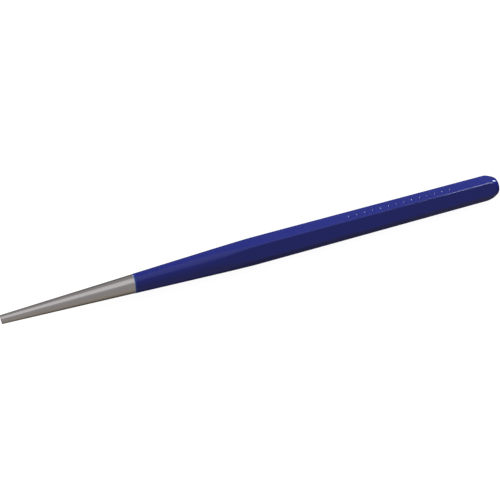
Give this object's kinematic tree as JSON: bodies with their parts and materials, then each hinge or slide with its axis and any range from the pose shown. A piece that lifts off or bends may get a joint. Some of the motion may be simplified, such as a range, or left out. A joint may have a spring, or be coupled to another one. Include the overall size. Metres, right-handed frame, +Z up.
{
  "type": "taper punch",
  "caption": "Long hand punch: a hexagonal steel shank with a slim tapered nose to a flat tip and a chamfered head to strike, coated blue except the bare ground nose.",
  "frame": {"origin": "on the surface the punch lies on, under the middle of its length and width", "axes": "+X along the bar from the flat tip to the struck head, +Z up from the flat it lies on, +Y across"},
  "size_m": [0.2602, 0.0138, 0.0122],
  "materials": {
    "ground_steel": "tool steel, turned and ground round the axis, fine marks, satin",
    "blue_enamel": "deep blue stoving enamel, glossy, slightly uneven"
  },
  "bodies": {
    "root": {"steel_bar": "ground_steel", "enamel_coat": "blue_enamel"}
  },
  "joints": []
}
